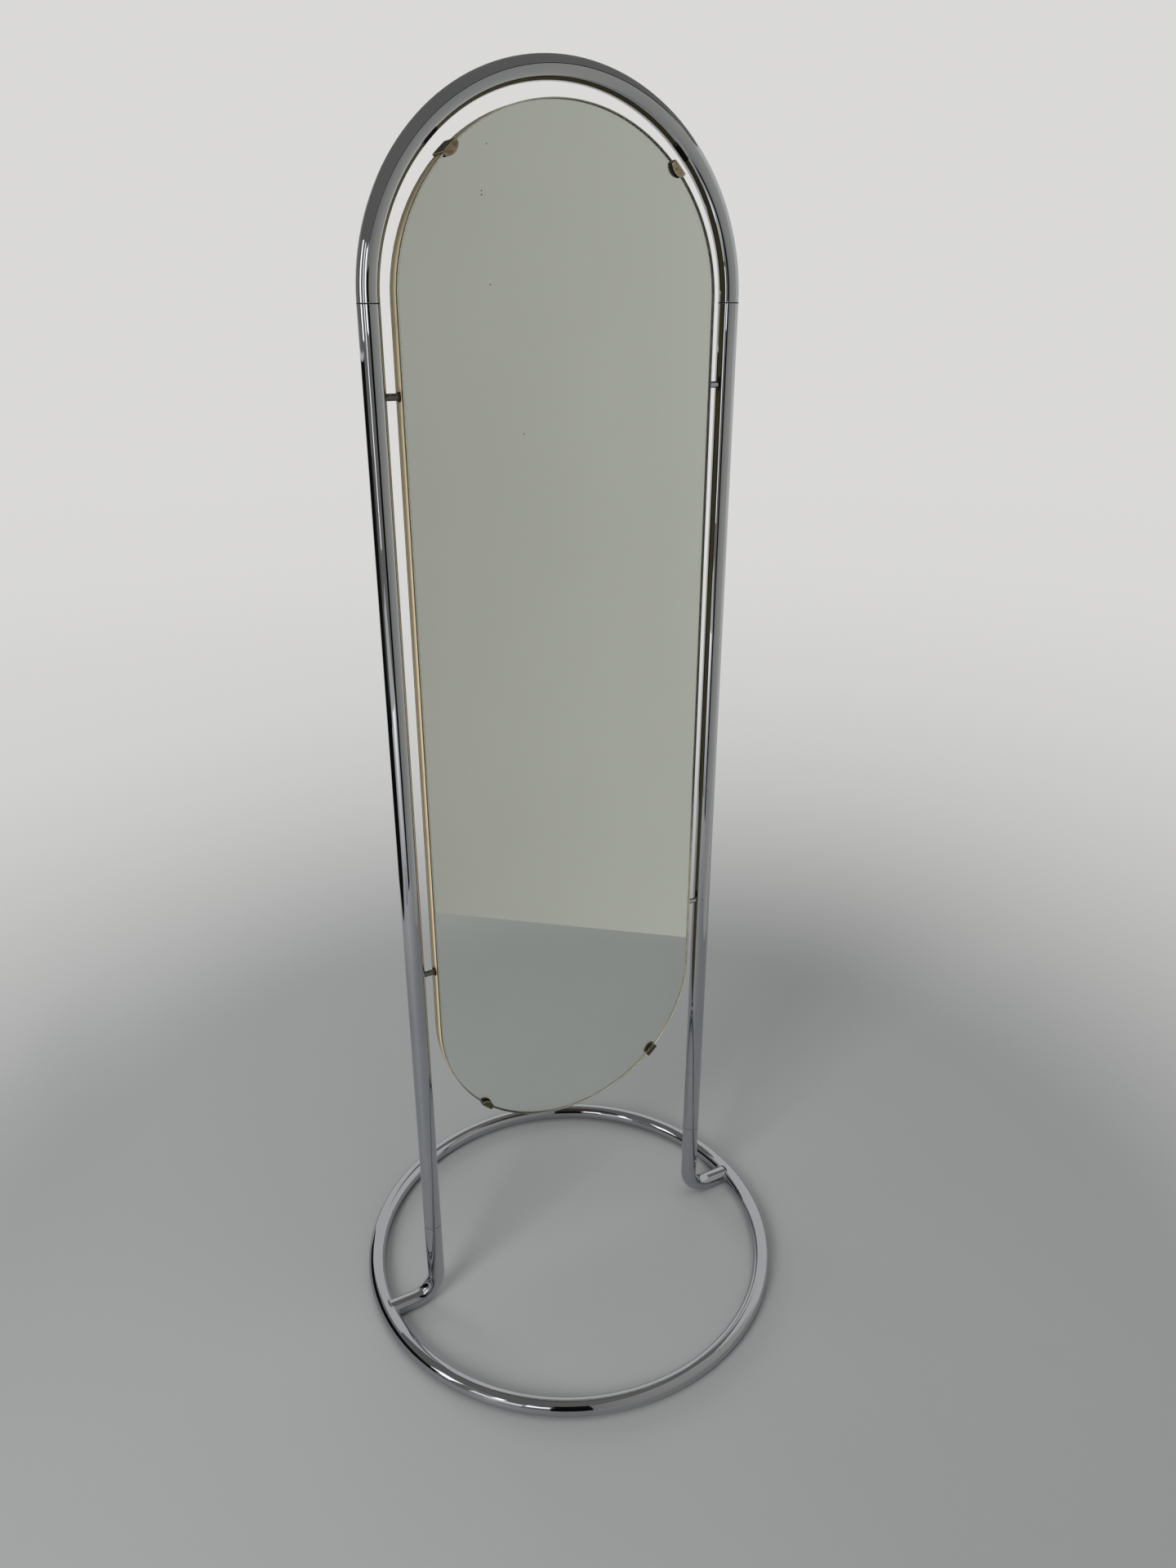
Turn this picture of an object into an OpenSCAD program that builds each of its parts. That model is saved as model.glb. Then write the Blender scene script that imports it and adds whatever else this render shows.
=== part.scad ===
// Free-standing full-length mirror. A round-ended mirror panel is carried on four short
// pins inside a tube frame: an arch on two legs, on two feet welded inside a floor ring.
// The origin is the centre of the ring on the floor, +Z is up and the glass faces -Y.

/* [Frame] */
// Height of the whole mirror above the floor
overall_h = 1660; // [1500:10:1900]
// Distance between the centre lines of the two legs
leg_spacing = 460; // [420:5:520]
// Outer diameter of every frame tube
tube_d = 25.4; // [22:0.1:28]
// Wall thickness of every frame tube
tube_wall = 1.5; // [1.2:0.1:2]
// Height of the seam between a foot and its leg
foot_h = 148; // [90:1:250]
// Radius of the bend in a foot, at the tube's centre line
foot_bend_r = 38; // [32:1:50]
// Length of the reduced tube end that plugs into a leg
plug_l = 50; // [30:1:60]
// Clearance around a plugged tube end, on each side
plug_fit = 0.15; // [0.1:0.05:0.3]
// Depth of the chamfer on the tube ends at a seam
seam_chamfer = 0.7; // [0.3:0.1:0.9]

/* [Floor ring] */
// Diameter of the floor ring, at the tube's centre line
ring_d = 620; // [580:5:800]
// Diameter of the vent hole in the ring inside each foot
vent_d = 8; // [4:0.5:12]
// How far the upper and lower tips of the foot's notch stop short of the ring's crown
notch_trim = 4; // [3:0.5:6]

/* [Joint screws] */
// Thread diameter of the screw that locks a plugged end
joint_screw_d = 5; // [4:0.5:6]
// Length of the joint screw under its head
joint_screw_l = 8; // [6:0.5:9]
// Head diameter of the joint screw
joint_head_d = 9; // [8:0.5:11]
// Head height of the joint screw
joint_head_h = 2.6; // [2:0.1:3]
// Width across flats of the joint screw's socket
joint_socket = 3; // [2:0.5:4]
// Depth of that socket
joint_socket_depth = 1.8; // [1:0.1:1.9]
// Clearance around a screw or stud in its hole, on each side
hole_fit = 0.1; // [0.05:0.05:0.2]

/* [Panel] */
// Gap between the panel and the frame tube all round
panel_gap = 15.5; // [10:0.5:25]
// Height of the panel's lowest point above the floor
panel_bottom = 285; // [240:5:400]
// Thickness of the mirror glass
glass_t = 5; // [4:0.5:6]
// Width of the polished chamfer round the front of the glass
glass_chamfer = 1.5; // [0.5:0.1:2]
// Thickness of the backing board
board_t = 18; // [16:0.5:22]
// Thickness of the band round the edge of the board
band_t = 1; // [0.5:0.1:2]
// Thickness of the cover sheet behind the board
back_t = 3; // [2:0.5:5]
// How far the cover sheet stands back from the panel's edge
back_inset = 0.5; // [0.3:0.1:2]

/* [Support pins] */
// Distance of each pin from where the panel's straight side ends
pin_inset = 95; // [80:1:250]
// Diameter of the stud in each pin
stud_d = 5; // [4:0.5:6]
// Length of stud inside the board
stud_grip = 20; // [14:1:26]
// Length of stud inside the leg tube
stud_tail = 8; // [4:0.5:9]
// Outer diameter of the spacer tube on the stud
spacer_d = 8; // [7.5:0.5:9]
// Outer diameter of the washer between spacer and panel
washer_d = 11; // [10:0.5:14]
// Thickness of that washer
washer_t = 2; // [1:0.1:3]
// Outer diameter of the threaded insert in the board
insert_d = 9; // [8:0.5:10]
// Length of the threaded insert
insert_l = 16; // [10:1:20]

/* [Clips] */
// Angle of the upper left clip above the level line
upper_left_angle = 47.5; // [35:0.5:60]
// Angle of the upper right clip above the level line
upper_right_angle = 44.5; // [35:0.5:60]
// Angle of the lower left clip below the level line
lower_left_angle = 46; // [35:0.5:60]
// Angle of the lower right clip below the level line
lower_right_angle = 46; // [35:0.5:60]
// Width of a clip along the panel's edge
clip_w = 20; // [16:0.5:24]
// Thickness of the clip metal
clip_t = 1.5; // [1:0.1:2]
// How far the front lip reaches over the glass
lip_reach = 8; // [5:0.5:10]
// Radius of the lip's curved end
lip_r = 14; // [12:0.5:18]
// How far the rear tab reaches over the cover sheet
tab_reach = 18; // [14:0.5:24]
// Distance of the clip screw from the panel's edge
clip_screw_in = 10; // [8:0.5:11]
// Thickness of the soft pad between lip and glass
pad_t = 1.5; // [1:0.1:2]
// Clearance between the clip's wall and the panel's edge
clip_fit = 0.2; // [0.1:0.05:0.3]

/* [Panel screws] */
// Diameter of the wood screws behind the panel
wood_screw_d = 3.5; // [3:0.5:4]
// Length of the wood screws under the head
wood_screw_l = 14; // [10:0.5:16]
// Head diameter of the wood screws
wood_head_d = 7; // [6:0.5:8]
// Head height of the wood screws
wood_head_h = 2; // [1.5:0.1:2.5]
// Length of each arm of the cross in the head, end to end
cross_l = 3.6; // [3:0.1:4]
// Width of the arms of the cross
cross_w = 1; // [0.6:0.1:1.2]
// Depth of the cross
cross_depth = 1.1; // [0.8:0.1:1.3]
// Screws down each side of the cover sheet
back_screw_count = 5; // [3:1:7]
// Distance of those screws from the panel's side
back_screw_in = 12; // [9:0.5:20]

/* [Hidden] */
$fn = 96;

// Finishes
chrome = [0.78, 0.79, 0.81];
mirror_tint = [0.62, 0.67, 0.64];
band_cream = [0.76, 0.70, 0.53];
board_brown = [0.66, 0.56, 0.40];
sheet_brown = [0.30, 0.23, 0.17];
clip_bronze = [0.49, 0.45, 0.38];
pad_grey = [0.16, 0.16, 0.15];
zinc = [0.62, 0.62, 0.60];
brass = [0.72, 0.58, 0.30];
worn_steel = [0.24, 0.19, 0.15];

// Frame tube and the reduced end that plugs into a leg
tube_r = tube_d / 2;
bore_r = tube_r - tube_wall;
plug_r = bore_r - plug_fit;
plug_bore_r = plug_r - tube_wall;
leg_x = leg_spacing / 2;
arch_r = leg_spacing / 2;
seam_h = overall_h - tube_r - arch_r;
ring_r = ring_d / 2;
// Past any tube end, so that a cut leaves no skin
past = 1;

// Panel: a straight middle with a half circle at each end
panel_r = arch_r - tube_r - panel_gap;
panel_low = panel_bottom + panel_r;
panel_t = glass_t + board_t + back_t;
glass_front = -panel_t / 2;
board_front = glass_front + glass_t;
board_back = board_front + board_t;
panel_back = board_back + back_t;

// Pins
pin_hole_r = stud_d / 2 + hole_fit;
pin_low = panel_low + pin_inset;
pin_high = seam_h - pin_inset;
joint_screw_low = foot_h + plug_l / 2;
joint_screw_high = seam_h - plug_l / 2;

// Clips
clip_in_r = panel_r + clip_fit;
clip_out_r = clip_in_r + clip_t;
lip_back = glass_front - pad_t;
lip_front = lip_back - clip_t;
tab_back = panel_back + clip_t;
clip_screw_r = panel_r - clip_screw_in;

// Each clip: which side it is on, its angle from the level line, up or down
UPPER_LEFT = [-1, 1, upper_left_angle];
UPPER_RIGHT = [1, 1, upper_right_angle];
LOWER_LEFT = [-1, -1, lower_left_angle];
LOWER_RIGHT = [1, -1, lower_right_angle];
CLIPS = [UPPER_LEFT, UPPER_RIGHT, LOWER_LEFT, LOWER_RIGHT];

// Tube path shapes, drawn once as a rod of any radius

module ring_rod(r) {
    translate([0, 0, tube_r])
        rotate_extrude($fn = 180)
            translate([ring_r, 0])
                circle(r = r);
}

module arch_rod(r) {
    translate([0, 0, seam_h])
        rotate([90, 0, 0])
            rotate_extrude(angle = 180, $fn = 180)
                translate([arch_r, 0])
                    circle(r = r);
}

// The right foot's path: down from the seam, round the bend and out to the ring
module foot_rod(r, above, beyond) {
    bend_top = tube_r + foot_bend_r;
    bend_end = leg_x + foot_bend_r;
    translate([leg_x, 0, bend_top])
        cylinder(r = r, h = foot_h - bend_top + above);
    translate([bend_end, 0, bend_top])
        rotate([90, 0, 0])
            rotate([0, 0, 180])
                rotate_extrude(angle = 90)
                    translate([foot_bend_r, 0])
                        circle(r = r);
    translate([bend_end, 0, tube_r])
        rotate([0, 90, 0])
            cylinder(r = r, h = ring_r - notch_trim - bend_end + beyond);
}

// The reduced end of a tube, plugged into a leg from a seam at height 0 upwards
module plug_end() {
    difference() {
        union() {
            translate([0, 0, -tube_wall])
                cylinder(r = tube_r - tube_wall / 2, h = tube_wall);
            translate([0, 0, -tube_wall])
                cylinder(r = plug_r, h = tube_wall + plug_l);
        }
        translate([0, 0, -tube_wall - past])
            cylinder(r = plug_bore_r, h = plug_l + tube_wall + 2 * past);
    }
}

// The hole that a joint screw passes, from the tube's centre out of its rear
module joint_screw_hole(x, z) {
    translate([x, 0, z])
        rotate([-90, 0, 0])
            cylinder(r = joint_screw_d / 2 + hole_fit, h = tube_r + past, $fn = 48);
}

module chrome_tube(side) {
    color(chrome)
        mirror([side < 0 ? 1 : 0, 0, 0])
            children();
}

// Floor ring, with a vent hole into each foot
module base_ring() {
    color(chrome)
        difference() {
            ring_rod(tube_r);
            ring_rod(bore_r);
            for (side = [0, 1])
                mirror([side, 0, 0])
                    translate([ring_r - tube_r - past, 0, tube_r])
                        rotate([0, 90, 0])
                            cylinder(r = vent_d / 2, h = tube_r + past, $fn = 48);
        }
}

// A foot: plugged into the leg above, notched over the ring's inner side and welded there
module foot(side) {
    chrome_tube(side)
        difference() {
            union() {
                difference() {
                    foot_rod(tube_r, 0, 0);
                    foot_rod(bore_r, past, past);
                }
                translate([leg_x, 0, foot_h])
                    plug_end();
            }
            ring_rod(tube_r);
            joint_screw_hole(leg_x, joint_screw_low);
        }
}

// A straight leg: chamfered ends, two pin holes inwards and two screw holes at the rear
module leg(side) {
    chrome_tube(side)
        difference() {
            translate([leg_x, 0, 0])
                rotate_extrude()
                    polygon([
                        [bore_r, foot_h],
                        [tube_r - seam_chamfer, foot_h],
                        [tube_r, foot_h + seam_chamfer],
                        [tube_r, seam_h - seam_chamfer],
                        [tube_r - seam_chamfer, seam_h],
                        [bore_r, seam_h]
                    ]);
            for (z = [pin_low, pin_high])
                translate([leg_x - tube_r - past, 0, z])
                    rotate([0, 90, 0])
                        cylinder(r = pin_hole_r, h = tube_r + past, $fn = 48);
            for (z = [joint_screw_low, joint_screw_high])
                joint_screw_hole(leg_x, z);
        }
}

// The arch: a half circle of tube with both ends reduced to plug down into the legs
module top_arch() {
    color(chrome)
        difference() {
            union() {
                difference() {
                    arch_rod(tube_r);
                    arch_rod(bore_r);
                    // Opens the bore at both ends
                    for (x = [-leg_x, leg_x])
                        translate([x, 0, seam_h - past])
                            cylinder(r = bore_r, h = past);
                }
                for (x = [-leg_x, leg_x])
                    translate([x, 0, seam_h])
                        mirror([0, 0, 1])
                            plug_end();
            }
            for (x = [-leg_x, leg_x])
                joint_screw_hole(x, joint_screw_high);
        }
}

// A screw pointing down from height 0, with a domed head above; children are cut out of it
module domed_screw(d, l, head_d, head_h) {
    dome_r = (pow(head_d / 2, 2) + pow(head_h, 2)) / (2 * head_h);
    difference() {
        union() {
            translate([0, 0, -l])
                cylinder(d = d, h = l, $fn = 48);
            intersection() {
                translate([0, 0, head_h - dome_r])
                    sphere(r = dome_r, $fn = 64);
                cylinder(d = head_d, h = head_h, $fn = 64);
            }
        }
        children();
    }
}

// Button-head screws behind the four tube joints
module joint_screws() {
    color(zinc)
        for (x = [-leg_x, leg_x], z = [joint_screw_low, joint_screw_high])
            translate([x, tube_r, z])
                rotate([-90, 0, 0])
                    domed_screw(joint_screw_d, joint_screw_l, joint_head_d, joint_head_h)
                        translate([0, 0, joint_head_h - joint_socket_depth])
                            cylinder(d = joint_socket / cos(30), h = joint_head_h, $fn = 6);
}

// Panel outline, inset from its edge, between two depths
module panel_slab(inset, y_from, y_to) {
    r = panel_r - inset;
    translate([0, y_to, 0])
        rotate([90, 0, 0])
            linear_extrude(height = y_to - y_from)
                union() {
                    translate([0, seam_h])
                        circle(r = r, $fn = 180);
                    translate([0, panel_low])
                        circle(r = r, $fn = 180);
                    translate([-r, panel_low])
                        square([2 * r, seam_h - panel_low]);
                }
}

// The glass edge is a square face with a chamfer in front of it
module chamfer_cut() {
    // A triangular groove, sharp side inwards, that follows the panel's edge
    points = [
        [panel_r - glass_chamfer, glass_front - past],
        [panel_r + past, glass_front - past],
        [panel_r + past, glass_front + glass_chamfer + past],
        [panel_r, glass_front + glass_chamfer],
        [panel_r - glass_chamfer, glass_front]
    ];
    for (end = [0, 1])
        translate([0, 0, end == 0 ? seam_h : panel_low])
            mirror([0, 0, end])
                rotate([90, 0, 0])
                    rotate_extrude(angle = 180, $fn = 180)
                        mirror([0, 1])
                            polygon(points);
    for (side = [0, 1])
        mirror([side, 0, 0])
            translate([0, 0, panel_low])
                linear_extrude(height = seam_h - panel_low)
                    polygon(points);
}

module mirror_glass() {
    color(mirror_tint)
        difference() {
            panel_slab(0, glass_front, board_front);
            chamfer_cut();
        }
}

// Puts a shape, drawn along +X, at each of the four pins, looking in from the frame's side
module at_each_pin() {
    for (side = [0, 1], z = [pin_low, pin_high])
        mirror([side, 0, 0])
            translate([0, 0, z])
                children();
}

module x_rod(r, x_from, x_to) {
    translate([x_from, 0, 0])
        rotate([0, 90, 0])
            cylinder(r = r, h = x_to - x_from, $fn = 48);
}

// Holes that the wood screws make, for the clips and for the cover sheet
module wood_screw_holes() {
    for (c = CLIPS)
        at_clip(c)
            translate([clip_screw_r, 0, 0])
                y_rod(wood_screw_d / 2 + hole_fit, tab_back - wood_screw_l - past, tab_back + past);
    at_each_back_screw()
        y_rod(wood_screw_d / 2 + hole_fit, panel_back - wood_screw_l - past, panel_back + past);
}

module y_rod(r, y_from, y_to) {
    translate([0, y_from, 0])
        rotate([-90, 0, 0])
            cylinder(r = r, h = y_to - y_from, $fn = 48);
}

module at_each_back_screw() {
    run = seam_h - panel_low;
    for (x = [-panel_r + back_screw_in, panel_r - back_screw_in], i = [0 : back_screw_count - 1])
        translate([x, 0, panel_low + run * i / (back_screw_count - 1)])
            children();
}

// Board, with a blind hole for each insert and the stud's end
module backing_board() {
    color(board_brown)
        difference() {
            panel_slab(band_t, board_front, board_back);
            at_each_pin() {
                x_rod(insert_d / 2, panel_r - insert_l, panel_r + past);
                x_rod(pin_hole_r, panel_r - stud_grip - past, panel_r);
            }
            wood_screw_holes();
        }
}

module edge_band() {
    color(band_cream)
        difference() {
            panel_slab(0, board_front, board_back);
            panel_slab(band_t, board_front - past, board_back + past);
            at_each_pin()
                x_rod(insert_d / 2, panel_r - band_t - past, panel_r + past);
        }
}

module back_panel() {
    color(sheet_brown)
        difference() {
            panel_slab(back_inset, board_back, panel_back);
            wood_screw_holes();
        }
}

// A cross-head wood screw whose head sits at height 0, pointing down
module wood_screw() {
    domed_screw(wood_screw_d, wood_screw_l, wood_head_d, wood_head_h)
        for (turn = [0, 90])
            rotate([0, 0, turn])
                translate([-cross_l / 2, -cross_w / 2, wood_head_h - cross_depth])
                    cube([cross_l, cross_w, wood_head_h]);
}

module back_screws() {
    color(zinc)
        at_each_back_screw()
            translate([0, panel_back, 0])
                rotate([-90, 0, 0])
                    wood_screw();
}

// Puts a shape at a clip, with +X pointing outwards from the centre of the panel's end
module at_clip(c) {
    angle = c[1] * c[2];
    translate([0, 0, c[1] > 0 ? seam_h : panel_low])
        mirror([c[0] < 0 ? 1 : 0, 0, 0])
            rotate([0, -angle, 0])
                children();
}

// Flat outline of a clip's lip, tab or pad, with a curved inner end and its outer end at out_r
module lip_outline(reach, out_r) {
    intersection() {
        circle(r = out_r, $fn = 180);
        translate([panel_r - reach, -clip_w / 2])
            square([reach + 2 * clip_t + clip_fit, clip_w]);
        union() {
            translate([panel_r - reach + lip_r, 0])
                circle(r = lip_r, $fn = 96);
            translate([panel_r - reach + lip_r, -clip_w / 2])
                square([reach + lip_r, clip_w]);
        }
    }
}

module y_plate(y_from, y_to) {
    translate([0, y_to, 0])
        rotate([90, 0, 0])
            linear_extrude(height = y_to - y_from)
                children();
}

// Bent metal clip: lip in front of the glass, wall round the edge, tab with a screw behind
module clip(c) {
    color(clip_bronze)
        at_clip(c)
            difference() {
                union() {
                    y_plate(lip_front, lip_back)
                        lip_outline(lip_reach, clip_out_r);
                    y_plate(panel_back, tab_back)
                        lip_outline(tab_reach, clip_out_r);
                    y_plate(lip_front, tab_back)
                        intersection() {
                            difference() {
                                circle(r = clip_out_r, $fn = 180);
                                circle(r = clip_in_r, $fn = 180);
                            }
                            translate([0, -clip_w / 2])
                                square([clip_out_r + past, clip_w]);
                        }
                }
                translate([clip_screw_r, 0, 0])
                    y_rod(wood_screw_d / 2 + hole_fit, panel_back - past, tab_back + past);
            }
}

// Soft pads under the lips, with the same curved end, each up to the glass's chamfer
module clip_pads() {
    color(pad_grey)
        for (c = CLIPS)
            at_clip(c)
                y_plate(lip_back, glass_front)
                    lip_outline(lip_reach, panel_r - glass_chamfer);
}

module clip_screws() {
    color(zinc)
        for (c = CLIPS)
            at_clip(c)
                translate([clip_screw_r, tab_back, 0])
                    rotate([-90, 0, 0])
                        wood_screw();
}

// One pin on one side at one height, drawn on the right and mirrored to the left
module pin_part(side, z) {
    mirror([side < 0 ? 1 : 0, 0, 0])
        translate([0, 0, z])
            children();
}

// Spacer tube from the washer to the leg, its outer end notched to the leg's round
module spacer(side, z) {
    color(chrome)
        pin_part(side, z)
            difference() {
                x_rod(spacer_d / 2, panel_r + washer_t, leg_x);
                x_rod(pin_hole_r, panel_r, leg_x + past);
                translate([leg_x, 0, -tube_r])
                    cylinder(r = tube_r, h = tube_d);
            }
}

// Stud: screwed into the insert, its free end standing in the leg's hole
module stud(side, z) {
    color(zinc)
        pin_part(side, z)
            x_rod(stud_d / 2, panel_r - stud_grip, leg_x - bore_r + stud_tail);
}

module spacer_washers() {
    color(worn_steel)
        at_each_pin()
            difference() {
                x_rod(washer_d / 2, panel_r, panel_r + washer_t);
                x_rod(pin_hole_r, panel_r - past, panel_r + washer_t + past);
            }
}

module board_inserts() {
    color(brass)
        at_each_pin()
            difference() {
                x_rod(insert_d / 2, panel_r - insert_l, panel_r);
                x_rod(pin_hole_r, panel_r - insert_l - past, panel_r + past);
            }
}

base_ring();
foot(-1);  // left_foot
foot(1);  // right_foot
leg(-1);  // left_leg
leg(1);  // right_leg
top_arch();
joint_screws();
mirror_glass();
backing_board();
edge_band();
back_panel();
back_screws();
clip(UPPER_LEFT);  // upper_left_clip
clip(UPPER_RIGHT);  // upper_right_clip
clip(LOWER_LEFT);  // lower_left_clip
clip(LOWER_RIGHT);  // lower_right_clip
clip_pads();
clip_screws();
spacer(-1, pin_high);  // upper_left_spacer
spacer(1, pin_high);  // upper_right_spacer
spacer(-1, pin_low);  // lower_left_spacer
spacer(1, pin_low);  // lower_right_spacer
stud(-1, pin_high);  // upper_left_stud
stud(1, pin_high);  // upper_right_stud
stud(-1, pin_low);  // lower_left_stud
stud(1, pin_low);  // lower_right_stud
spacer_washers();
board_inserts();
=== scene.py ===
import math

import bmesh
import bpy
from mathutils import Euler, Matrix, Vector


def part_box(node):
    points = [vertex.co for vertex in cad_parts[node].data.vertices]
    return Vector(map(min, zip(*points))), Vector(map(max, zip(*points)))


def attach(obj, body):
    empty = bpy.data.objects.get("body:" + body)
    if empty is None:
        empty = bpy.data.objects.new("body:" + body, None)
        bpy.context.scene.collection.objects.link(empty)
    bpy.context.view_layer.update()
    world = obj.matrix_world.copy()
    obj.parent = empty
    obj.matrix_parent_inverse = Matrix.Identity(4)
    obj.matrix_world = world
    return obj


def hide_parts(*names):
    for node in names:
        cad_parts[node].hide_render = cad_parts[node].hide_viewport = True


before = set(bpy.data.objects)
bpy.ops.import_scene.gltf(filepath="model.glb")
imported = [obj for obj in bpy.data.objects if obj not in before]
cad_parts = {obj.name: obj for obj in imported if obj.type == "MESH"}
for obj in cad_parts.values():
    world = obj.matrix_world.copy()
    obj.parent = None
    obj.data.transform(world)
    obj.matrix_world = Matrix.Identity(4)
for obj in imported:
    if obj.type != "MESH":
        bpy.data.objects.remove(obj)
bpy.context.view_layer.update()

# Camera
# Held at eye height in front of the mirror's left side, turned right and tilted down.
# Its place and lens were fitted to the outlines of the frame, the ring and the panel.
eye = Vector((-0.6413, -1.2511, 1.4231))
turned_right = math.radians(28.358)
tilted_down = math.radians(23.296)
leaning = math.radians(0.039)
film_height = 36
focal_pixels = 1384.06
picture_height = 1920
nearest_seen = 0.01

camera = bpy.data.objects.new("camera", bpy.data.cameras.new("camera"))
camera.data.sensor_width = film_height
camera.data.lens = film_height * focal_pixels / picture_height
camera.data.clip_start = nearest_seen
aim = Euler((math.radians(90) - tilted_down, 0, -turned_right)).to_matrix()
camera.matrix_world = Matrix.Translation(eye) @ (aim @ Matrix.Rotation(leaning, 3, "Z")).to_4x4()
bpy.context.scene.collection.objects.link(camera)
bpy.context.scene.camera = camera


# Floor ring
# A round steel tube, bent to a full circle, welded shut, polished and chrome-plated. It lies
# flat on the floor, where its plating has dulled a little and picked up dust and fine pits.
class Wire:
    """One socket of a finish. Sums on it are written as Python sums and add Math nodes."""

    def __init__(self, finish, socket):
        self.finish = finish
        self.socket = socket

    def sum(self, operation, *values):
        return self.finish.node("ShaderNodeMath", {"operation": operation}, dict(enumerate(values)))

    def __add__(self, other):
        return self.sum("ADD", self, other)

    def __radd__(self, other):
        return self.sum("ADD", other, self)

    def __sub__(self, other):
        return self.sum("SUBTRACT", self, other)

    def __rsub__(self, other):
        return self.sum("SUBTRACT", other, self)

    def __mul__(self, other):
        return self.sum("MULTIPLY", self, other)

    def __rmul__(self, other):
        return self.sum("MULTIPLY", other, self)

    def __abs__(self):
        return self.sum("ABSOLUTE", self)

    def __gt__(self, other):
        return self.sum("GREATER_THAN", self, other)

    def ramp(self, low, high, kind="SMOOTHSTEP"):
        """0 below low, 1 above high, and a rise between them; high may be the smaller."""
        ends = (low, high, 0.0, 1.0) if low < high else (high, low, 1.0, 0.0)
        settings = {"interpolation_type": kind}
        return self.finish.node("ShaderNodeMapRange", settings, dict(enumerate((self,) + ends)))

    def axis(self, letter):
        return self.finish.node("ShaderNodeSeparateXYZ", {}, {0: self}, letter)


class Finish:
    """A material in the making, with one method that adds any node."""

    def __init__(self, name, owner=None):
        self.owner = owner or bpy.data.materials.new(name)
        self.owner.use_nodes = True
        self.tree = self.owner.node_tree
        self.tree.nodes.clear()
        self.place = self.node("ShaderNodeTexCoord", output="Object")

    def node(self, kind, settings=None, sockets=None, output=0):
        made = self.tree.nodes.new(kind)
        for name, value in (settings or {}).items():
            setattr(made, name, value)
        for name, value in (sockets or {}).items():
            if isinstance(value, Wire):
                self.tree.links.new(value.socket, made.inputs[name])
            else:
                made.inputs[name].default_value = value
        return Wire(self, made.outputs[output])

    def stretched(self, *scale):
        """The place on the piece, with each axis scaled, for streaks and grain."""
        return self.node("ShaderNodeMapping", {}, {"Vector": self.place, "Scale": scale})

    def noise(self, scale, detail=2.0, rough=0.5, place=None):
        sockets = {"Vector": place or self.place, "Scale": scale, "Detail": detail, "Roughness": rough}
        return self.node("ShaderNodeTexNoise", {}, sockets)

    def spots(self, scale, place=None, output="Distance"):
        """Distance to the nearest of many scattered points, about 0 to 0.7."""
        sockets = {"Vector": place or self.place, "Scale": scale}
        return self.node("ShaderNodeTexVoronoi", {}, sockets, output)

    def near(self, x, y, z, reach):
        """1 at a point of the object, falling to 0 at reach from it."""
        points = {0: self.place, 1: (x, y, z)}
        away = self.node("ShaderNodeVectorMath", {"operation": "DISTANCE"}, points, "Value")
        return away.ramp(reach, reach * 0.75)

    def toward(self, direction):
        """How far the place lies along a direction."""
        sockets = {0: self.place, 1: direction}
        return self.node("ShaderNodeVectorMath", {"operation": "DOT_PRODUCT"}, sockets, "Value")

    def mix(self, factor, colour, other):
        """colour where factor is 0, other where it is 1."""
        return self.node("ShaderNodeMix", {"data_type": "RGBA"}, {0: factor, 6: colour, 7: other}, 2)

    def bump(self, height, distance, strength=1.0):
        sockets = {"Strength": strength, "Distance": distance, "Height": height}
        return self.node("ShaderNodeBump", {}, sockets)

    def surface(self, **sockets):
        """Joins a Principled shader to the output; underscores in a name stand for spaces."""
        named = {name.replace("_", " "): value for name, value in sockets.items()}
        shader = self.node("ShaderNodeBsdfPrincipled", {}, named)
        self.out(shader)
        return self.owner

    def out(self, shader, kind="ShaderNodeOutputMaterial"):
        end = self.tree.nodes.new(kind)
        self.tree.links.new(shader.socket, end.inputs["Surface"])


def paint(red, green, blue):
    """A colour as it is read from a swatch, 0 to 255, for a shader."""
    def light(value):
        share = value / 255
        return share / 12.92 if share <= 0.04045 else ((share + 0.055) / 1.055) ** 2.4
    return light(red), light(green), light(blue), 1.0


def dress(finish, *nodes):
    for name in nodes:
        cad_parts[name].material_slots[0].material = finish


dull_height = 0.06
pit_scale = 160
seam_half = 0.0009
seam_core = 0.0005


def chrome_finish(name, dullness, ripple, seams=()):
    """Plating with a few pits, dulled near the floor, and a dark line of dirt in each seam."""
    chrome = Finish(name)
    clouds = chrome.noise(7, 4)
    wipes = chrome.noise(60, 5, 0.6, chrome.stretched(1, 1, 0.15))
    height = chrome.place.axis("Z")
    low = height.ramp(dull_height, 0.0)
    pit_cells = chrome.spots(pit_scale)
    pit_choice = chrome.spots(pit_scale, output="Color").axis("X")
    pits = pit_cells.ramp(0.16, 0.08) * (pit_choice > 0.9) * chrome.noise(9, 2).ramp(0.52, 0.62)
    dirt = pits
    for seam, depth in seams:
        dirt = dirt + abs(height - seam).ramp(seam_half, seam_core) * depth
    dirt = dirt.ramp(0.0, 0.9, "LINEAR")
    tone = chrome.mix(clouds.ramp(0.3, 0.7), paint(184, 186, 190), paint(177, 180, 185))
    tone = chrome.mix(dirt, tone, paint(34, 31, 29))
    rough = 0.02 + wipes.ramp(0.52, 0.75) * 0.03 + low * (0.02 + dullness) + dirt * 0.5
    sway = chrome.noise(14, 1) * ripple + chrome.noise(45, 1) * (ripple * 0.1) - pits * 0.5
    return chrome.surface(
        Base_Color=tone, Metallic=1.0 - dirt * 0.8, Roughness=rough, Normal=chrome.bump(sway, 0.0002, 0.5)
    )


chrome = chrome_finish("chrome", 0.01, 0.6)
dress(chrome, "base_ring")

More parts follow.
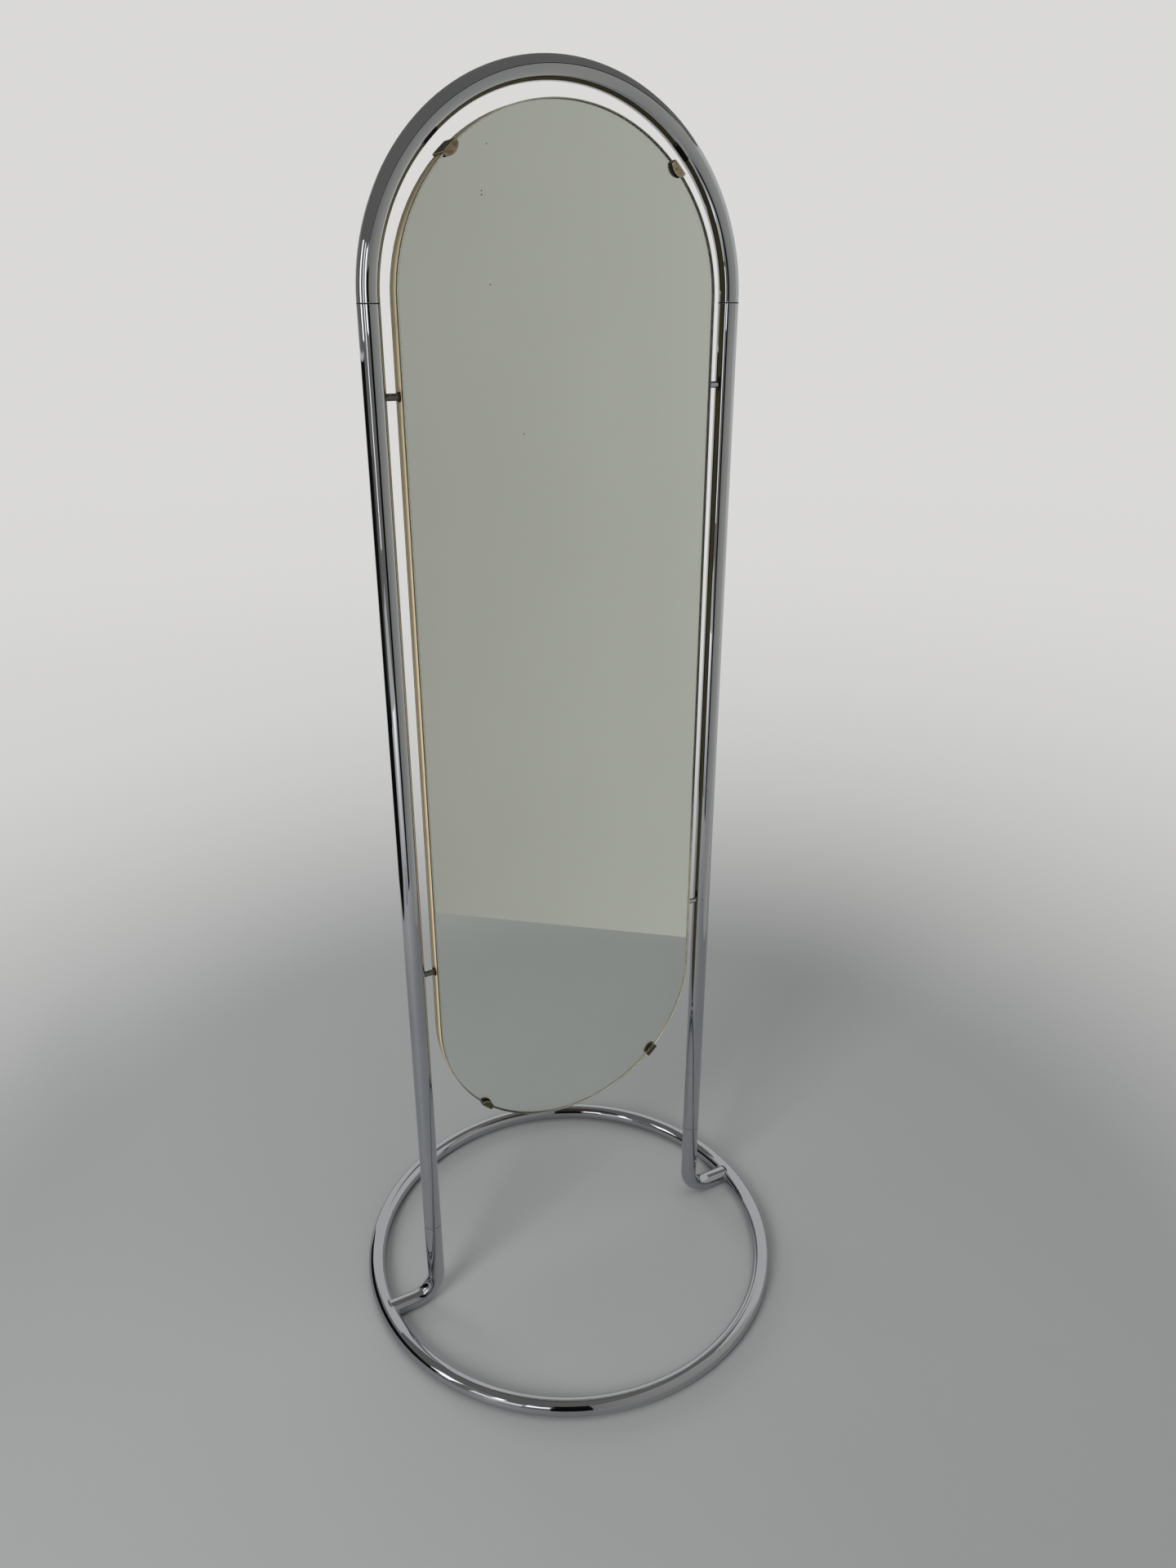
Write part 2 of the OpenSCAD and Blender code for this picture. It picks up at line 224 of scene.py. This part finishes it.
# Feet
# Two lengths of the same tube that come down from the legs, turn outwards in a tight bend and
# are notched over the inside of the ring. The welds were ground and polished before plating.
ring_low, ring_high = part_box("base_ring")
tube_r = (ring_high.z - ring_low.z) / 2
ring_r = ring_high.x - tube_r
bead_r = 0.0013
bead_sink = 0.0004
bead_clear = 0.0003
bead_sides = 10
bead_steps = 72
bead_limit = ring_r - 0.004


def new_piece(name, mesh, materials, smooth=True):
    """A finished mesh as a piece of the object, riding on its one body."""
    data = bpy.data.meshes.new(name)
    mesh.to_mesh(data)
    mesh.free()
    for material in materials:
        data.materials.append(material)
    for face in data.polygons:
        face.use_smooth = smooth
    piece = bpy.data.objects.new(name, data)
    bpy.context.scene.collection.objects.link(piece)
    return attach(piece, "root")


def weld_bead(side):
    """A small round spun about the foot's tube, pulled to the ring's side, cut at the floor."""
    bead = bmesh.new()
    upright = Matrix.Rotation(math.radians(90), 4, "X")
    start = Matrix.Translation((0, 0, tube_r + bead_r - bead_sink)) @ upright
    bmesh.ops.create_circle(bead, segments=bead_sides, radius=bead_r, matrix=start)
    bmesh.ops.spin(
        bead, geom=bead.edges[:], axis=(1, 0, 0), cent=(0, 0, 0), angle=math.tau,
        steps=bead_steps, use_merge=True,
    )
    for point in bead.verts:
        across = point.co.y
        level = min(abs(point.co.z), tube_r)
        from_centre = ring_r - math.sqrt(tube_r ** 2 - level ** 2)
        point.co.x += min(math.sqrt(from_centre ** 2 - across ** 2), bead_limit)
    bmesh.ops.translate(bead, verts=bead.verts[:], vec=(0, 0, tube_r))
    whole = bead.verts[:] + bead.edges[:] + bead.faces[:]
    bmesh.ops.bisect_plane(
        bead, geom=whole, plane_co=(0, 0, bead_clear), plane_no=(0, 0, -1), clear_outer=True
    )
    bmesh.ops.holes_fill(bead, edges=bead.edges[:], sides=0)
    if side < 0:
        bmesh.ops.scale(bead, verts=bead.verts[:], vec=(-1, 1, 1))
    bmesh.ops.recalc_face_normals(bead, faces=bead.faces[:])
    return bead


for side, word in ((-1, "left"), (1, "right")):
    weld = new_piece(f"{word}_weld", weld_bead(side), [chrome])

# Legs and arch
# Two straight tubes and one bent to a half circle. Reduced ends of the arch and the feet plug
# into the legs, which leaves four fine seams, and a button screw locks each one from behind.
leg_low, leg_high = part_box("left_leg")
seam_inset = 0.0003
seams = ((leg_low.z + seam_inset, 0.5), (leg_high.z - seam_inset, 1.0))
seamed_chrome = chrome_finish("seamed_chrome", 0.0, 0.25, seams)
dress(seamed_chrome, "left_leg", "right_leg", "top_arch", "left_foot", "right_foot")


def zinc_finish():
    zinc = Finish("zinc_plate")
    mottle = zinc.noise(900, 3)
    scuffs = zinc.noise(300, 4, 0.7)
    tone = zinc.mix(mottle.ramp(0.35, 0.65), paint(176, 175, 170), paint(140, 139, 136))
    rough = 0.28 + scuffs * 0.25
    return zinc.surface(Base_Color=tone, Metallic=1.0, Roughness=rough, Normal=zinc.bump(mottle, 0.00004))


zinc = zinc_finish()
dress(zinc, "joint_screws")

# Board and its edge band
# The mirror's carrier is a chipboard panel with a half round at each end. A cream band is glued
# round its edge. Painted shade darkens it to the right, towards the arch and at its back. It is
# darker higher up, and dark beside the glass and round the right pins.
chip = Finish("chipboard")
flakes = chip.spots(260, chip.stretched(1, 1, 0.6), "Color").axis("X")
chip_tone = chip.mix(flakes, paint(186, 156, 112), paint(142, 110, 74))
dress(
    chip.surface(
        Base_Color=chip_tone, Roughness=0.75 + flakes * 0.15, Normal=chip.bump(flakes, 0.0003)
    ),
    "backing_board",
)

board_low, board_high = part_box("backing_board")
pale_strip = 0.0025
strip_blur = 0.0003
# Painted shade: the band is darker towards its back, standing in for the shading of its rounded edge.
rear_shade_from, rear_shade_to = board_low.y + 0.001, board_high.y - 0.006
dark_line_width = 0.0015
toward_top_from, toward_top_to = 0.95, 1.45
# Painted shade: heights where the band is darkened towards the arch, whose underside shades it.
arch_shade_from, arch_shade_to = 1.44, 1.54
# Painted shade: where the band's right side, which lies in shade, is darkened.
right_shade_from, right_shade_to = 0.1, 0.19
left_pins = ("upper_left_spacer", "lower_left_spacer")
right_pins = ("upper_right_spacer", "lower_right_spacer")
stain_forward = 0.002
rust_reach = 0.0065
black_reach = 0.0105


def band_finish():
    band = Finish("cream_band")
    depth = band.place.axis("Y")
    height = band.place.axis("Z")
    strip_edge = board_high.y - pale_strip
    strip = depth.ramp(strip_edge - strip_blur, strip_edge + strip_blur)
    # Painted shade: darker towards the back of the band.
    rear_shade = depth.ramp(rear_shade_from, rear_shade_to)
    # The band is darker higher up.
    toward_top = height.ramp(toward_top_from, toward_top_to, "LINEAR")
    # Painted shade: darker towards the arch, where the band's top lies in the arch's shade.
    arch_shade = height.ramp(arch_shade_from, arch_shade_to)
    # Painted shade: darker on the right side of the band, which lies in shade.
    right_shade = band.place.axis("X").ramp(right_shade_from, right_shade_to)
    stains = band.noise(22, 5, 0.65)
    streaks = band.noise(420, 3, 0.6, band.stretched(1, 3, 1))
    # A thin dark line on the band beside the glass, and round dark patches about the right pins below.
    dark_marks = depth.ramp(board_low.y + dark_line_width, board_low.y) * 0.85
    stain = 0
    for pin in left_pins:
        pin_low, pin_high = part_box(pin)
        stain = band.near(board_low.x, pin_low.y + stain_forward, pin_high.z, rust_reach) + stain
    for pin in right_pins:
        pin_low, pin_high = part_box(pin)
        middle = (pin_low + pin_high) / 2
        dark_marks = band.near(board_high.x, middle.y, middle.z, black_reach) + dark_marks
    lower_tone = band.mix(rear_shade, paint(236, 213, 172), paint(162, 149, 116))
    upper_tone = band.mix(rear_shade, paint(168, 156, 118), paint(124, 114, 80))
    tone = band.mix(toward_top, lower_tone, upper_tone)
    tone = band.mix(strip, tone, band.mix(toward_top, paint(214, 210, 200), paint(164, 156, 138)))
    tone = band.mix(right_shade * 0.8, tone, paint(112, 102, 56))
    tone = band.mix(arch_shade * 0.75, tone, paint(82, 70, 46))
    tone = band.mix(stains.ramp(0.55, 0.8) * 0.3, tone, paint(110, 94, 60))
    tone = band.mix(stain * 0.6, tone, paint(150, 100, 54))
    tone = band.mix(dark_marks, tone, paint(52, 40, 26))
    rough = 0.4 + streaks * 0.12 + stains.ramp(0.5, 0.8) * 0.15
    return band.surface(
        Base_Color=tone, Roughness=rough, Specular_IOR_Level=0.3, Normal=band.bump(streaks, 0.00004)
    )


dress(band_finish(), "edge_band")

# Cover sheet
# A thin sheet of brown hardboard covers the board's back, held on by ten small screws. The
# screen that it was pressed on has left a fine weave on the side that shows.
sheet = Finish("hardboard")
threads = {"Vector": sheet.place, "Scale": 120.0, "Distortion": 0.6, "Detail": 1.0}
weave = 0
for direction in ("X", "Z"):
    course = {"wave_type": "BANDS", "bands_direction": direction}
    weave = sheet.node("ShaderNodeTexWave", course, threads) + weave
fibres = sheet.noise(90, 6, 0.7)
sheet_tone = sheet.mix(fibres.ramp(0.3, 0.75), paint(96, 70, 48), paint(62, 44, 31))
dress(
    sheet.surface(
        Base_Color=sheet_tone, Roughness=0.62 + fibres * 0.2,
        Normal=sheet.bump(weave * 0.5 + fibres, 0.0004, 0.7),
    ),
    "back_panel",
)
dress(zinc, "back_screws")

# Mirror glass
# Float glass, silvered behind and ground to the board's outline, with a chamfer round its front.
# The ground edge is dark, painted bright on its lower right as painted light, and a few tiny black specks
# show in the silver.
glass_low, glass_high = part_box("mirror_glass")
glass_r = glass_high.x
glass_straight = (glass_high.z - glass_low.z) / 2 - glass_r
glass_middle = (glass_high.z + glass_low.z) / 2
chamfer = 0.0015
silver_gap = 0.0001
specks = ((-0.0929, 1.5711), (-0.1004, 1.5268), (-0.1004, 1.523), (-0.0932, 1.4358), (-0.0565, 1.2768))
speck_r = 0.0008
pinhole_scale = 38
rim_segments = 192
touching = 1e-6
# Painted light: the ground edge is painted bright towards its lower right.
lower_right = (0.9, 0, -0.55)
lit_from, lit_to = -0.26, -0.15


def glass_finish():
    glass = Finish("glass")
    smears = glass.noise(8, 5, 0.6, glass.stretched(1, 1, 0.4))
    dust = glass.noise(900, 2).ramp(0.66, 0.74) * glass.noise(6, 3).ramp(0.45, 0.65)
    rough = smears.ramp(0.5, 0.8) * 0.012 + dust * 0.1
    return glass.surface(
        Base_Color=(0.955, 0.975, 0.955, 1.0), Roughness=rough, IOR=1.52, Transmission_Weight=1.0
    )


def ground_finish(name, dark, bright):
    """Ground glass, dark but for the lower right, painted bright and glossy there as painted light that
    the edge catches.
    """
    ground_glass = Finish(name)
    smudges = ground_glass.noise(300, 4, 0.6)
    # Painted light: the lower right of the ground edge is painted bright, where it catches the light.
    lit_corner = ground_glass.toward(lower_right).ramp(lit_from, lit_to)
    tone = ground_glass.mix(smudges.ramp(0.35, 0.7), paint(*dark[0]), paint(*dark[1]))
    tone = ground_glass.mix(lit_corner, tone, paint(*bright))
    return ground_glass.surface(
        Base_Color=tone, Roughness=0.4 + smudges * 0.2, Specular_IOR_Level=0.3, Coat_Weight=lit_corner
    )


def silver_finish():
    silver = Finish("silver")
    spots = 0
    for x, z in specks:
        spots = silver.near(x, glass_high.y, z, speck_r) + spots
    cells = silver.spots(pinhole_scale)
    choice = silver.spots(pinhole_scale, output="Color").axis("Y")
    pinholes = cells.ramp(0.035, 0.02) * (choice > 0.86)
    spots = (spots + pinholes).ramp(0.2, 0.8)
    clouds = silver.noise(3, 4)
    tone = silver.mix(clouds.ramp(0.3, 0.7), (0.86, 0.875, 0.845, 1.0), (0.83, 0.845, 0.815, 1.0))
    tone = silver.mix(spots, tone, paint(30, 28, 24))
    return silver.surface(Base_Color=tone, Metallic=1.0 - spots, Roughness=spots * 0.6 + 0.004)


def stadium_plate(radius, straight, middle, front, back):
    """A flat plate with round ends: half a disc, its flat side drawn down, then mirrored."""
    plate = bmesh.new()
    upright = Matrix.Rotation(math.radians(90), 4, "X")
    bmesh.ops.create_circle(plate, cap_ends=True, segments=rim_segments, radius=radius, matrix=upright)
    halves = plate.verts[:] + plate.edges[:] + plate.faces[:]
    bmesh.ops.bisect_plane(plate, geom=halves, plane_co=(0, 0, 0), plane_no=(0, 0, 1), clear_inner=True)
    bmesh.ops.translate(plate, verts=plate.verts[:], vec=(0, 0, straight))
    base = [e for e in plate.edges if all(abs(v.co.z - straight) < touching for v in e.verts)]
    drawn = bmesh.ops.extrude_edge_only(plate, edges=base)["geom"]
    down = [part for part in drawn if isinstance(part, bmesh.types.BMVert)]
    bmesh.ops.translate(plate, verts=down, vec=(0, 0, -straight))
    whole = plate.verts[:] + plate.edges[:] + plate.faces[:]
    bmesh.ops.mirror(plate, geom=whole, axis="Z", merge_dist=touching)
    bmesh.ops.remove_doubles(plate, verts=plate.verts[:], dist=touching)
    bmesh.ops.dissolve_faces(plate, faces=plate.faces[:])
    bmesh.ops.translate(plate, verts=plate.verts[:], vec=(0, back, middle))
    raised = bmesh.ops.extrude_face_region(plate, geom=plate.faces[:])["geom"]
    up = [part for part in raised if isinstance(part, bmesh.types.BMVert)]
    bmesh.ops.translate(plate, verts=up, vec=(0, front - back, 0))
    bmesh.ops.recalc_face_normals(plate, faces=plate.faces[:])
    return plate


glass_back = glass_high.y - silver_gap
plate = stadium_plate(glass_r, glass_straight, glass_middle, glass_low.y, glass_back)
rim = [e for e in plate.edges if all(abs(v.co.y - glass_low.y) < touching for v in e.verts)]
bmesh.ops.bevel(plate, geom=rim, offset=chamfer, segments=1, profile=0.5, affect="EDGES", material=-1)
for face in plate.faces:
    if face.normal.y > 0.9:
        face.material_index = 1
    elif abs(face.normal.y) < 0.1:
        face.material_index = 3
    elif face.normal.y > -0.9:
        face.material_index = 2
chamfer_coat = ground_finish("ground_chamfer", ((120, 120, 108), (134, 134, 123)), (250, 244, 226))
rim_coat = ground_finish("ground_rim", ((36, 26, 18), (54, 42, 28)), (244, 236, 214))
glass_coats = [glass_finish(), silver_finish(), chamfer_coat, rim_coat]
mirror = new_piece("mirror_plate", plate, glass_coats, smooth=False)
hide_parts("mirror_glass")

# Support pins
# Four chrome spacer tubes, the left two dulled, hold the panel off the legs on steel studs, which
# are screwed into brass inserts in the board. The washers at the board are black with grime.
dull = Finish("dulled_plating")
films = dull.noise(260, 4, 0.6)
dull_tone = dull.mix(films.ramp(0.35, 0.65), paint(132, 133, 130), paint(92, 92, 88))
dress(
    dull.surface(
        Base_Color=dull_tone, Metallic=1.0, Roughness=0.1 + films * 0.12, Normal=dull.bump(films, 0.0001)
    ),
    *left_pins,
)
dress(chrome, *right_pins)
dress(zinc, "upper_left_stud", "upper_right_stud", "lower_left_stud", "lower_right_stud")

rust = Finish("rusty_steel")
blooms = rust.noise(420, 5, 0.65)
rust_tone = rust.mix(blooms.ramp(0.45, 0.6), paint(30, 27, 24), paint(50, 36, 26))
rust_tone = rust.mix(blooms.ramp(0.6, 0.72), rust_tone, paint(104, 66, 38))
dress(
    rust.surface(
        Base_Color=rust_tone, Metallic=blooms.ramp(0.55, 0.42), Roughness=0.4 + blooms * 0.4,
        Normal=rust.bump(blooms, 0.0004),
    ),
    "spacer_washers",
)

brass = Finish("brass")
turned = brass.noise(500, 2)
brass_tone = brass.mix(turned, paint(201, 166, 98), paint(170, 132, 70))
dress(
    brass.surface(Base_Color=brass_tone, Metallic=1.0, Roughness=0.25 + turned * 0.2),
    "board_inserts",
)

# Clips
# Four strips of nickelled sheet metal, bent over glass and board, tarnished to bronze, the lower
# two darker. Each lip lies on a soft black pad, and a cross-head screw holds the tab behind.
lower_from, lower_to = 1.0, 0.9
edge_ease = 0.00035
joining = 1e-5
flat_within = math.radians(1)
sharp_from = math.radians(30)
lip_depth = 0.002
wall_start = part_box("upper_left_clip")[0].y + lip_depth


def lip_finish():
    nickel = Finish("tarnished_nickel")
    clouds = nickel.noise(160, 5, 0.6)
    spots = nickel.noise(420, 4, 0.7).ramp(0.6, 0.7)
    worn = nickel.noise(240, 4, 0.6, nickel.stretched(1, 1, 7)).ramp(0.6, 0.72)
    lower = nickel.place.axis("Z").ramp(lower_from, lower_to)
    tone = nickel.mix(clouds.ramp(0.4, 0.65), paint(176, 160, 136), paint(132, 118, 94))
    tone = nickel.mix(worn * 0.4, tone, paint(196, 184, 160))
    tone = nickel.mix(lower * 0.9, tone, paint(62, 55, 33))
    tone = nickel.mix(spots * 0.7, tone, paint(46, 38, 28))
    rough = 0.3 + clouds * 0.2 + spots * 0.3
    return nickel.surface(
        Base_Color=tone, Metallic=1.0 - lower * 0.4, Roughness=rough, Normal=nickel.bump(clouds, 0.0004)
    )


# The bevels' colour is partly wear and partly a painted highlight: lighter than the lip, for the bright
# line of light along its edge.
def worn_and_highlit_finish():
    highlit_edge = Finish("worn_and_highlit_edge")
    nicks = highlit_edge.noise(700, 3, 0.6)
    tone = highlit_edge.mix(nicks.ramp(0.45, 0.65), paint(196, 186, 164), paint(104, 92, 70))
    return highlit_edge.surface(Base_Color=tone, Metallic=0.8, Roughness=0.3 + nicks * 0.2)


def wall_finish():
    """Dark metal, with a few bare spots."""
    dark_wall_coat = Finish("dark_wall")
    mottle = dark_wall_coat.noise(500, 4, 0.6)
    bare = dark_wall_coat.noise(330, 2).ramp(0.68, 0.72)
    tone = dark_wall_coat.mix(mottle.ramp(0.4, 0.65), paint(20, 16, 11), paint(42, 34, 22))
    tone = dark_wall_coat.mix(bare, tone, paint(150, 138, 104))
    rough = 0.5 + mottle * 0.2
    return dark_wall_coat.surface(Base_Color=tone, Metallic=bare, Roughness=rough, Specular_IOR_Level=0.12)


def eased_copy(node):
    """A CAD piece's mesh, joined up, its sharp edges rounded off and its walls marked."""
    copy = bmesh.new()
    copy.from_mesh(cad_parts[node].data)
    bmesh.ops.remove_doubles(copy, verts=copy.verts[:], dist=joining)
    bmesh.ops.dissolve_limit(
        copy, angle_limit=flat_within, verts=copy.verts[:], edges=copy.edges[:],
        use_dissolve_boundaries=False,
    )
    for face in copy.faces:
        if abs(face.normal.y) < 0.5 and face.calc_center_median().y > wall_start:
            face.material_index = 2
    sharp = [e for e in copy.edges if len(e.link_faces) == 2 and e.calc_face_angle() > sharp_from]
    bmesh.ops.bevel(
        copy, geom=sharp, offset=edge_ease, segments=2, profile=0.5, affect="EDGES", material=1
    )
    return copy


clip_coats = [lip_finish(), worn_and_highlit_finish(), wall_finish()]
for node in ("upper_left_clip", "upper_right_clip", "lower_left_clip", "lower_right_clip"):
    clip = new_piece(node + "_strip", eased_copy(node), clip_coats, smooth=False)
    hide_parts(node)
dress(zinc, "clip_screws")

rubber = Finish("soft_pad")
crumb = rubber.noise(1500, 3)
rubber_tone = rubber.mix(crumb, paint(16, 15, 14), paint(34, 32, 29))
dress(
    rubber.surface(Base_Color=rubber_tone, Roughness=0.8 + crumb * 0.1, Normal=rubber.bump(crumb, 0.0001)),
    "clip_pads",
)


# Floor, backdrop and light
# A plain pale floor that runs out into a plain pale backdrop, lit by soft lamps. Plain light and
# dark cards and a low lid stand outside the picture, for the chrome and the mirror to show.
backdrop = (0.70, 0.695, 0.68, 1.0)
floor_tone = (0.35, 0.358, 0.36, 1.0)
floor_half = 40.0
fade_start, fade_end = 1.1, 0.08
white = (1.0, 1.0, 1.0, 1.0)
sky_strength = 0.32


def stage_piece(name, mesh, finish):
    data = bpy.data.meshes.new(name)
    mesh.to_mesh(data)
    mesh.free()
    data.materials.append(finish.owner)
    piece = bpy.data.objects.new(name, data)
    bpy.context.scene.collection.objects.link(piece)
    return piece


sky = Finish("studio", bpy.data.worlds.new("studio"))
bpy.context.scene.world = sky.owner
shown = 0
for ray in ("Is Camera Ray", "Is Glossy Ray", "Is Transmission Ray"):
    shown = sky.node("ShaderNodeLightPath", output=ray) + shown
soft_light = sky.node("ShaderNodeBackground", {}, {"Color": white, "Strength": sky_strength})
seen_light = sky.node("ShaderNodeBackground", {}, {"Color": backdrop, "Strength": 1.0})
either = sky.node("ShaderNodeMixShader", {}, {0: shown > 0.5, 1: soft_light, 2: seen_light})
sky.out(either, "ShaderNodeOutputWorld")

ground = Finish("floor_paint")
away = ground.node("ShaderNodeVectorMath", {"operation": "LENGTH"}, {0: ground.place}, "Value")
nearness = ground.node("ShaderNodeMath", {"operation": "DIVIDE"}, {0: 1.0, 1: away})
fade = nearness.ramp(fade_start, fade_end)
far_floor = ground.node("ShaderNodeEmission", {}, {"Color": backdrop, "Strength": 1.0})
matte = {"Base Color": floor_tone, "Roughness": 0.4, "Specular IOR Level": 0.2}
near_floor = ground.node("ShaderNodeBsdfPrincipled", {}, matte)
ground.out(ground.node("ShaderNodeMixShader", {}, {0: fade, 1: near_floor, 2: far_floor}))
floor_mesh = bmesh.new()
bmesh.ops.create_grid(floor_mesh, x_segments=1, y_segments=1, size=floor_half)
stage_piece("floor", floor_mesh, ground)


def lamp(name, place, target, width, height, watts):
    data = bpy.data.lights.new(name, "AREA")
    data.shape = "RECTANGLE"
    data.size = width
    data.size_y = height
    data.energy = watts
    light = bpy.data.objects.new(name, data)
    light.location = place
    light.rotation_euler = (Vector(target) - Vector(place)).to_track_quat("-Z", "Y").to_euler()
    light.visible_glossy = False
    bpy.context.scene.collection.objects.link(light)


lamp("side_lamp", (-2.6, -1.5, 2.0), (0, 0, 0.8), 1.2, 1.6, 70)
lamp("top_lamp", (0.2, -0.4, 3.4), (0, 0, 0), 3.0, 3.0, 30)
lamp("rear_lamp", (-0.8, 3.2, 1.8), (0, 0, 0.8), 1.6, 1.6, 30)


bright_tint = (1.0, 1.0, 1.0)
dim_tint = (1.0, 0.995, 0.92)


def card(name, corner, along, up, first, last):
    """A flat card that only chrome, glass and silver see, its light running from first to last."""
    corner, along, up = Vector(corner), Vector(along), Vector(up)
    board = bmesh.new()
    bmesh.ops.create_grid(board, x_segments=1, y_segments=1, size=0.5)
    placed = Matrix((along, up, along.cross(up))).transposed().to_4x4()
    placed.translation = corner + along / 2 + up / 2
    bmesh.ops.transform(board, verts=board.verts[:], matrix=placed)
    face = Finish(name)
    from_first = face.toward(along).ramp(corner.dot(along), (corner + along).dot(along), "LINEAR")
    tint = bright_tint if max(first, last) > 1 else dim_tint
    shades = [(tint[0] * light, tint[1] * light, tint[2] * light, 1.0) for light in (first, last)]
    shade = face.mix(from_first, *shades)
    face.out(face.node("ShaderNodeEmission", {}, {"Color": shade, "Strength": 1.0}))
    piece = stage_piece(name, board, face)
    piece.visible_camera = False
    piece.visible_diffuse = False
    piece.visible_shadow = False


# Name, start and end on the floor plan, lower and upper height, light at the start and the end
upright_cards = (
    ("front_card", (-0.35, -1.586), (0.85, -0.612), 0.0, 2.12, 0.3, 0.47),
    ("front_end_card", (0.85, -0.612), (1.05, -0.45), 0.0, 2.12, 0.47, 0.6),
    ("front_run_card", (-1.6, -2.6), (-0.35, -1.586), 0.0, 2.12, 0.22, 0.3),
    ("dark_rail_card", (-1.6, -2.6), (1.05, -0.45), 2.12, 2.24, 0.02, 0.02),
    ("back_card", (-4.4, -2.6), (-1.6, -2.6), 0.0, 4.4, 0.22, 0.22),
    ("side_card", (-4.4, 0.9), (-4.4, -2.6), 0.0, 4.4, 0.2, 0.22),
    ("near_dark_card", (-0.62, 1.35), (-1.45, -0.1), 0.1, 0.6, 0.003, 0.008),
    ("far_dark_card", (-1.2, 2.41), (-2.79, 0.45), 0.0, 1.25, 0.003, 0.012),
    ("low_card", (-2.79, 0.45), (-2.79, -0.55), 0.0, 0.95, 0.06, 0.2),
    ("upper_card", (-1.5, 3.0), (-3.3, 0.55), 1.25, 3.2, 0.3, 0.16),
    ("bright_card", (-4.2, 0.52), (-4.2, -0.45), 1.25, 4.0, 2.0, 2.0),
    ("tall_bright_card", (-3.85, -1.8), (-3.65, -2.15), 0.35, 4.4, 2.2, 2.2),
    ("rear_bright_card", (-2.75, -2.5), (-1.85, -2.5), 1.3, 3.0, 2.0, 2.0),
    ("dark_front_card", (-0.85, -1.2), (-0.45, -1.385), 0.0, 1.6, 0.006, 0.006),
)
for name, start, end, low, high, first, last in upright_cards:
    card(name, (*start, low), (end[0] - start[0], end[1] - start[1], 0), (0, 0, high - low), first, last)
card("lid_card", (-2.2, -3.5, 2.24), (3.7, 0, 0), (0, 5.0, 0), 0.17, 0.2)
card("sheen_card", (-1.19, -0.45, 0.12), (0, 0, 0.48), (0.26, -0.42, 0), 0.3, 1.6)

bpy.context.scene.view_settings.view_transform = "Standard"
